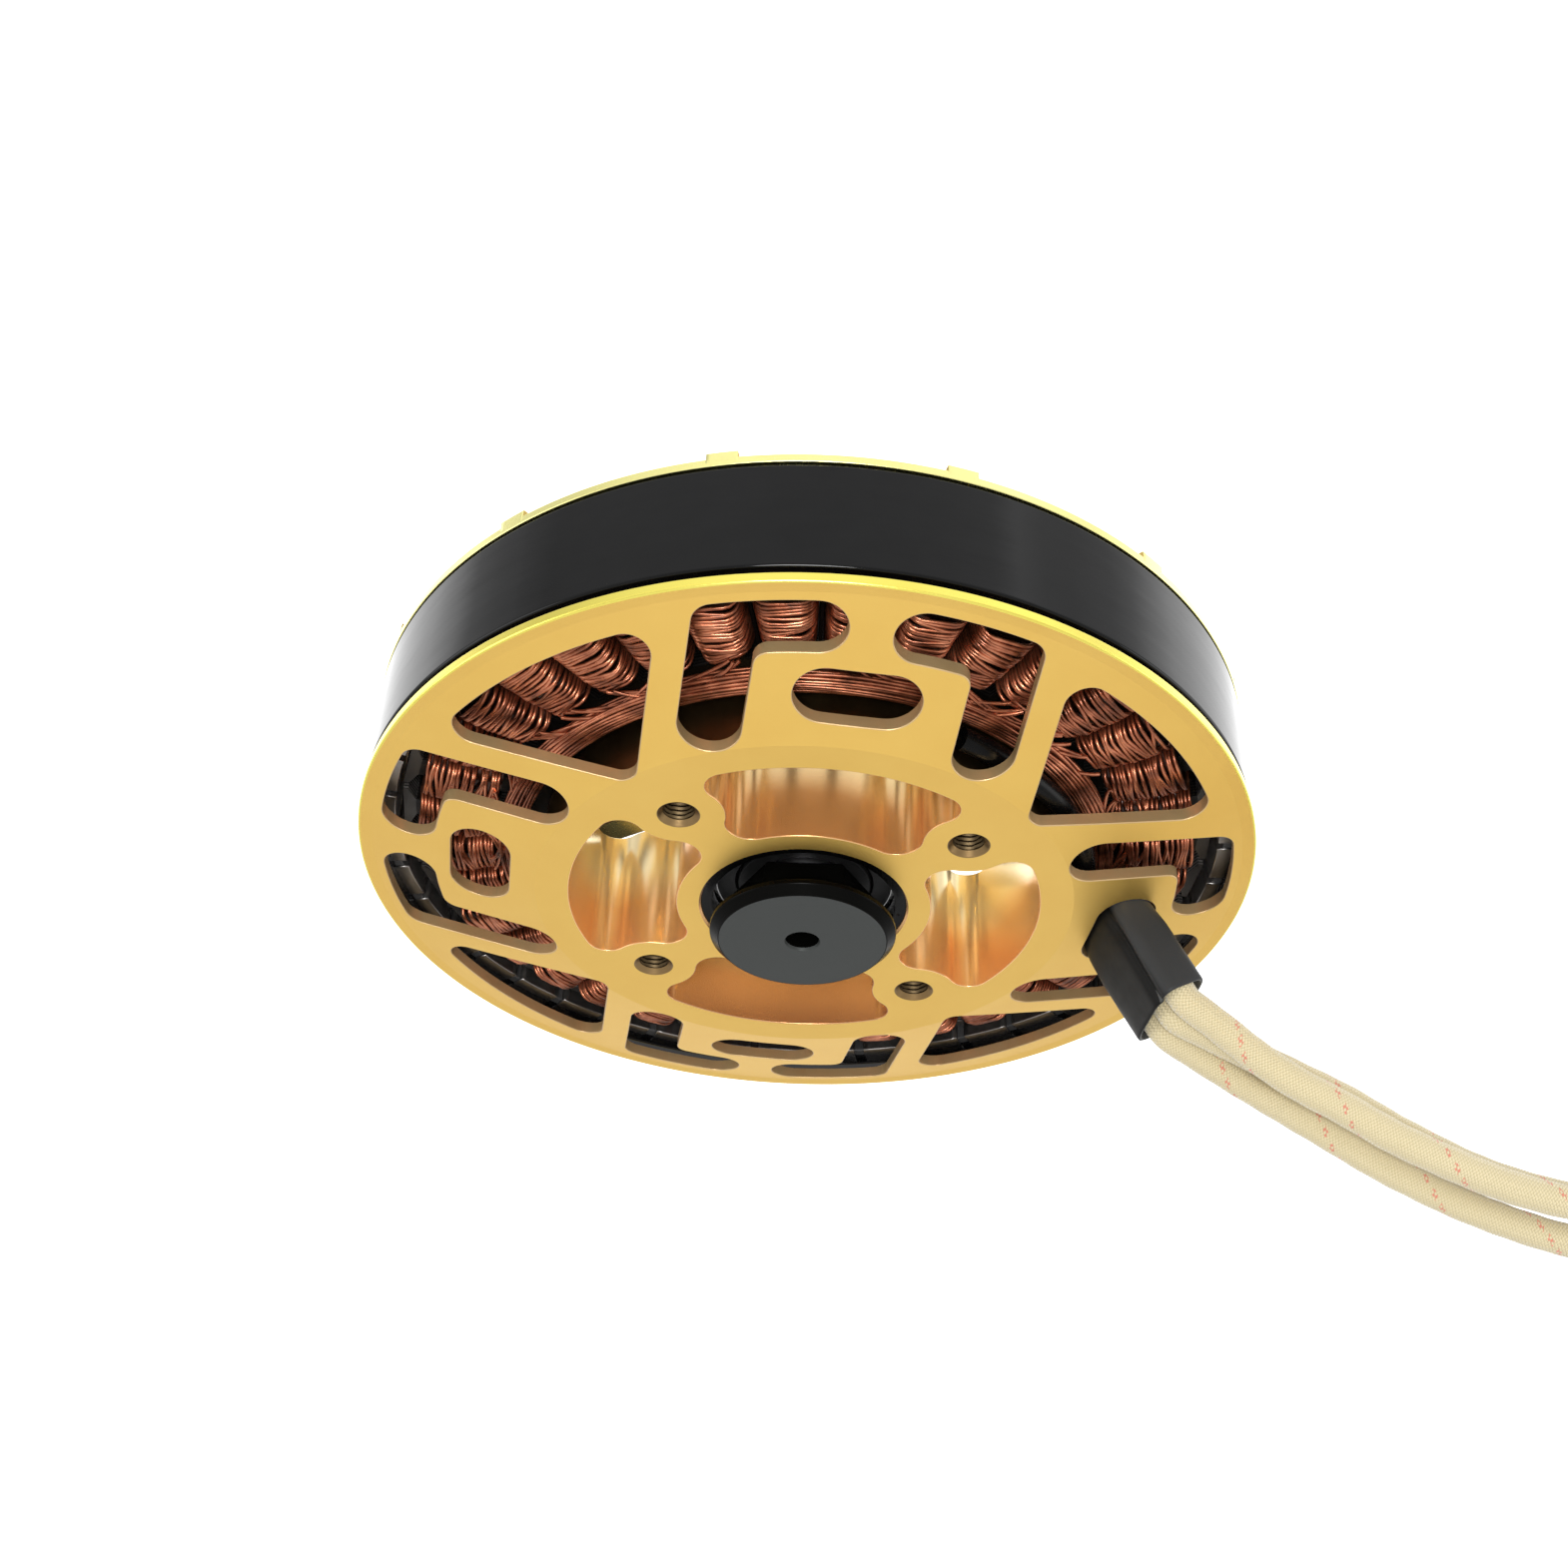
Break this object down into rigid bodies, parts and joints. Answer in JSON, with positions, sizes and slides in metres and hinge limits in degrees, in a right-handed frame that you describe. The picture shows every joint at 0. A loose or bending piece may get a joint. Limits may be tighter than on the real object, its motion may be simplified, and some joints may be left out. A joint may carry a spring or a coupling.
{
  "type": "brushless drone motor",
  "caption": "Flat outrunner motor: a slotted gold base with wound stator, and a spoked gold cap with a black magnet ring that turns on its shaft.",
  "frame": {"origin": "on the motor's axis, in the plane of the base's flat mounting face", "axes": "+Z along the axis from the base to the propeller face, +X through the slot where the leads leave"},
  "size_m": [0.1456, 0.087, 0.0518],
  "materials": {
    "gold_anodised": "satin gold anodised",
    "gold_anodised_cap": "bright gold anodised",
    "core_laminate": "dark laminated edge",
    "enamelled_copper": "glossy enamelled wire",
    "black_gloss_ring": "gloss black",
    "bearing_steel": "polished",
    "shaft_steel": "turned",
    "black_anodised": "satin black anodised",
    "black_heat_shrink": "matte",
    "woven_cream_sleeving": "woven, matte",
    "screw_black": "black oxide"
  },
  "bodies": {
    "stator": {"base_mount": "gold_anodised", "dust_ring": "black_anodised", "stator_core": "core_laminate", "coil_01": "enamelled_copper", "coil_02": "enamelled_copper", "coil_03": "enamelled_copper", "coil_04": "enamelled_copper", "coil_05": "enamelled_copper", "coil_06": "enamelled_copper", "coil_07": "enamelled_copper", "coil_08": "enamelled_copper", "coil_09": "enamelled_copper", "coil_10": "enamelled_copper", "coil_11": "enamelled_copper", "coil_12": "enamelled_copper", "coil_13": "enamelled_copper", "coil_14": "enamelled_copper", "coil_15": "enamelled_copper", "coil_16": "enamelled_copper", "coil_17": "enamelled_copper", "coil_18": "enamelled_copper", "coil_19": "enamelled_copper", "coil_20": "enamelled_copper", "coil_21": "enamelled_copper", "coil_22": "enamelled_copper", "coil_23": "enamelled_copper", "coil_24": "enamelled_copper", "coil_25": "enamelled_copper", "coil_26": "enamelled_copper", "coil_27": "enamelled_copper", "coil_28": "enamelled_copper", "coil_29": "enamelled_copper", "coil_30": "enamelled_copper", "coil_31": "enamelled_copper", "coil_32": "enamelled_copper", "coil_33": "enamelled_copper", "coil_34": "enamelled_copper", "coil_35": "enamelled_copper", "coil_36": "enamelled_copper", "phase_links": "enamelled_copper", "bearing_lower_outer": "bearing_steel", "bearing_upper_outer": "bearing_steel", "inner_lead_1": "black_heat_shrink", "inner_lead_2": "black_heat_shrink", "lead_sleeve": "black_heat_shrink", "lead_1": "woven_cream_sleeving", "lead_2": "woven_cream_sleeving", "lead_3": "woven_cream_sleeving"},
    "rotor": {"bearing_lower_inner": "bearing_steel", "bearing_upper_inner": "bearing_steel", "shaft": "shaft_steel", "end_cap": "black_anodised", "flux_ring": "black_gloss_ring", "top_cap": "gold_anodised_cap", "cap_screw_1": "screw_black", "cap_screw_2": "screw_black", "cap_screw_3": "screw_black", "cap_screw_4": "screw_black"}
  },
  "joints": [
    {"name": "rotor_spin", "type": "hinge", "parent": "stator", "child": "rotor", "pos_m": [0, 0, 0.01], "axis": [0, 0, 1], "continuous": true}
  ]
}
